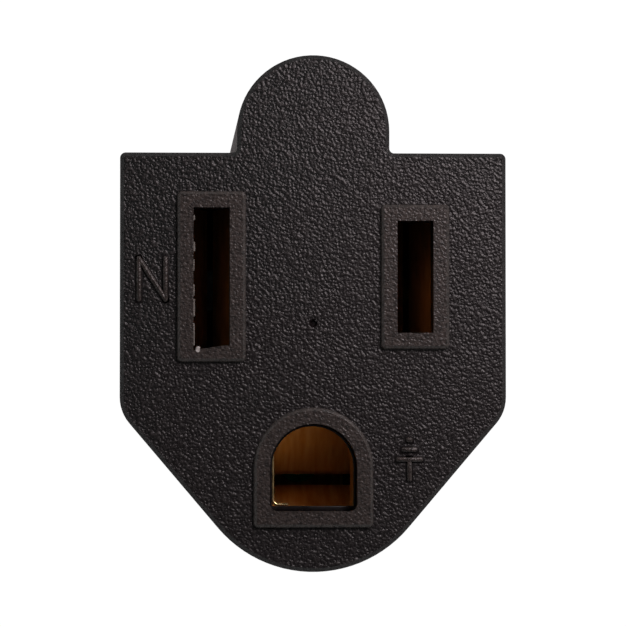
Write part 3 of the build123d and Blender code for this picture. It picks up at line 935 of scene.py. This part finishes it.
class CONNECTOR_OT_threads(bpy.types.Operator):
    """Cuts the thread that shows on the two clamp screws between the jaws"""

    bl_idname = "connector.threads"
    bl_label = "Cut the clamp screw threads"

    def execute(self, context):
        pitch = context.scene.metal_looks.thread_pitch
        plating = bpy.data.materials["zinc_plated_steel"]
        turns = 2
        for side in ("left", "right"):
            low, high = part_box(f"{side}_clamp_screw")
            bpy.ops.object.select_all(action="DESELECT")
            bpy.ops.mesh.primitive_circle_add(
                vertices=3, radius=0.5 * pitch / math.cos(math.radians(30)),
                location=(CLAMP_SHANK_RADIUS + 0.02 * MM, 0, 0), rotation=(math.radians(90), 0, 0),
            )
            thread = context.object
            bpy.ops.object.transform_apply(location=True, rotation=True)
            winding = thread.modifiers.new("winding", "SCREW")
            winding.angle = 2 * math.pi * turns
            winding.screw_offset = pitch * turns
            winding.steps = 32 * turns
            winding.render_steps = 32 * turns
            winding.use_merge_vertices = False
            apply_modifiers(thread)
            thread.rotation_euler = (math.radians(-90), 0, 0)
            thread.location = ((low.x + high.x) / 2, -pitch * turns / 2, (low.z + high.z) / 2)
            finish_piece(thread, f"{side}_clamp_thread", plating)
            bpy.ops.object.mode_set(mode="EDIT")
            bpy.ops.mesh.select_all(action="SELECT")
            bpy.ops.mesh.fill_holes(sides=0)
            bpy.ops.mesh.normals_make_consistent(inside=False)
            bpy.ops.object.mode_set(mode="OBJECT")
        return {"FINISHED"}


class CONNECTOR_OT_insulators(bpy.types.Operator):
    """Gives the retainer and the grommet their plastic and rubber"""

    bl_idname = "connector.insulators"
    bl_label = "Dress the insulators"

    def execute(self, context):
        looks = context.scene.insulator_looks
        # Glass-filled nylon: a dull grey-brown moulding with a fibrous grain.
        dress("contact_retainer", plain_moulding(
            "glass_filled_nylon", looks.retainer_colour, 0.25 * MM, 0.01 * MM, 0.55
        ))
        # Moulded rubber: nearly black and almost without gloss.
        dress("cord_grommet", plain_moulding(
            "moulded_rubber", looks.rubber_colour, 0.12 * MM, 0.01 * MM, 0.75
        ))
        return {"FINISHED"}


class CONNECTOR_OT_studio(bpy.types.Operator):
    """Sets the floor, the light and the camera"""

    bl_idname = "connector.studio"
    bl_label = "Set up the studio"

    def execute(self, context):
        studio = context.scene.studio_settings
        scene = context.scene
        bpy.ops.object.select_all(action="DESELECT")
        bpy.ops.mesh.primitive_plane_add(size=3, location=(0, 0, -0.02 * MM))
        floor = context.object
        floor.name = "floor"
        # Matt white paper: the camera sees mostly its own white, and a lit share keeps the shadow.
        paper, tree = new_material("white_paper")
        lit = add_node(tree, "ShaderNodeBsdfDiffuse", (("Color", opaque(studio.floor_colour)),))
        glow = add_node(tree, "ShaderNodeEmission", (("Color", (1, 1, 1, 1)), ("Strength", 1.06)))
        glow_share = 0.95
        shown = add_node(
            tree, "ShaderNodeMixShader",
            ((0, glow_share), (1, lit.outputs["BSDF"]), (2, glow.outputs["Emission"])),
        )
        path = add_node(tree, "ShaderNodeLightPath")
        from_above = add_node(
            tree, "ShaderNodeMixShader",
            ((0, path.outputs["Is Camera Ray"]), (1, lit.outputs["BSDF"]), (2, shown.outputs["Shader"])),
        )
        # Seen from below, the paper is left out, so that the rear end shows.
        clear = add_node(tree, "ShaderNodeBsdfTransparent", (("Color", (1, 1, 1, 1)),))
        below = add_node(tree, "ShaderNodeNewGeometry").outputs["Backfacing"]
        surface = add_node(
            tree, "ShaderNodeMixShader",
            ((0, below), (1, from_above.outputs["Shader"]), (2, clear.outputs["BSDF"])),
        )
        add_node(tree, "ShaderNodeOutputMaterial", (("Surface", surface.outputs["Shader"]),))
        floor.data.materials.append(paper)

        world = bpy.data.worlds.new("white_studio")
        world.use_nodes = True
        world.node_tree.nodes.clear()
        # White walls under a dim ceiling: the face stays dark, and its grain catches the walls.
        ray = add_node(world.node_tree, "ShaderNodeTexCoord").outputs["Generated"]
        rise = add_node(world.node_tree, "ShaderNodeSeparateXYZ", (("Vector", ray),)).outputs["Z"]
        brightness = add_node(
            world.node_tree, "ShaderNodeMapRange",
            (
                ("Value", rise),
                ("From Min", 0.15),
                ("From Max", 0.45),
                ("To Min", 1.0),
                ("To Max", studio.ceiling_strength),
            ),
        )
        # The camera sees white wherever the floor ends, and nothing is lit by that white.
        seen_brightness = add_node(
            world.node_tree, "ShaderNodeMath",
            (
                (0, brightness.outputs["Result"]),
                (1, add_node(world.node_tree, "ShaderNodeLightPath").outputs["Is Camera Ray"]),
            ),
            operation="MAXIMUM",
        )
        studio_light = add_node(
            world.node_tree, "ShaderNodeBackground",
            (("Color", (1, 1, 1, 1)), ("Strength", seen_brightness.outputs["Value"])),
        )
        add_node(
            world.node_tree, "ShaderNodeOutputWorld",
            (("Surface", studio_light.outputs["Background"]),),
        )
        scene.world = world

        # A small soft lamp at the upper right, so that the face darkens to the lower left.
        bpy.ops.object.light_add(type="AREA", location=studio.key_place)
        key = context.object
        key.name = "key_lamp"
        key.data.shape = "DISK"
        key.data.size = studio.key_size
        key.visible_camera = False
        key.data.energy = studio.key_power
        key.data.color = studio.key_colour
        aim = Vector((0, 0, FACE_Z)) - key.location
        key.rotation_euler = aim.to_track_quat("-Z", "Y").to_euler()

        # The photograph looks at the face from slightly left of and below its middle.
        middle = Vector((0, -0.04 * MM, FACE_Z))
        stand = middle + Vector((*studio.camera_aside, studio.camera_height))
        bpy.ops.object.camera_add(location=stand)
        camera = context.object
        camera.name = "photo_camera"
        back = (stand - middle).normalized()
        right = Vector((0, 1, 0)).cross(back).normalized()
        camera.rotation_euler = Matrix((right, back.cross(right), back)).transposed().to_euler()
        camera.data.sensor_width = 36
        camera.data.lens = camera.data.sensor_width * (stand - middle).length / studio.view_width
        camera.data.clip_start = 0.01
        camera.data.clip_end = 10
        scene.camera = camera
        scene.view_settings.view_transform = "Standard"
        return {"FINISHED"}


class CONNECTOR_PT_panel(bpy.types.Panel):
    """The sizes, colours and steps of the cord connector"""

    bl_idname = "CONNECTOR_PT_panel"
    bl_label = "Cord connector"
    bl_space_type = "VIEW_3D"
    bl_region_type = "UI"
    bl_category = "Connector"

    def draw(self, context):
        for group_name, group, operators in STEPS:
            box = self.layout.box()
            settings = getattr(context.scene, group_name)
            for prop in group.__annotations__:
                box.prop(settings, prop)
            for operator in operators:
                box.operator(operator.bl_idname)


STEPS = (
    ("moulding_looks", MouldingLooks, (CONNECTOR_OT_mouldings, CONNECTOR_OT_flash)),
    ("mark_sizes", MarkSizes, (CONNECTOR_OT_marks,)),
    ("metal_looks", MetalLooks, (
        CONNECTOR_OT_contacts, CONNECTOR_OT_ground_hole, CONNECTOR_OT_terminals, CONNECTOR_OT_threads,
    )),
    ("insulator_looks", InsulatorLooks, (CONNECTOR_OT_insulators,)),
    ("studio_settings", StudioSettings, (CONNECTOR_OT_studio,)),
)


def register():
    """Registers the settings, the operators and the panel."""
    for group_name, group, operators in STEPS:
        bpy.utils.register_class(group)
        setattr(bpy.types.Scene, group_name, bpy.props.PointerProperty(type=group))
        for operator in operators:
            bpy.utils.register_class(operator)
    bpy.utils.register_class(CONNECTOR_PT_panel)


def unregister():
    """Takes back what register did."""
    bpy.utils.unregister_class(CONNECTOR_PT_panel)
    for group_name, group, operators in reversed(STEPS):
        for operator in reversed(operators):
            bpy.utils.unregister_class(operator)
        delattr(bpy.types.Scene, group_name)
        bpy.utils.unregister_class(group)


def main():
    """Runs every step in order."""
    register()
    bpy.ops.connector.mouldings()
    bpy.ops.connector.flash()
    bpy.ops.connector.marks()
    bpy.ops.connector.contacts()
    bpy.ops.connector.ground_hole()
    bpy.ops.connector.terminals()
    bpy.ops.connector.threads()
    bpy.ops.connector.insulators()
    bpy.ops.connector.studio()


if __name__ == "__main__":
    main()
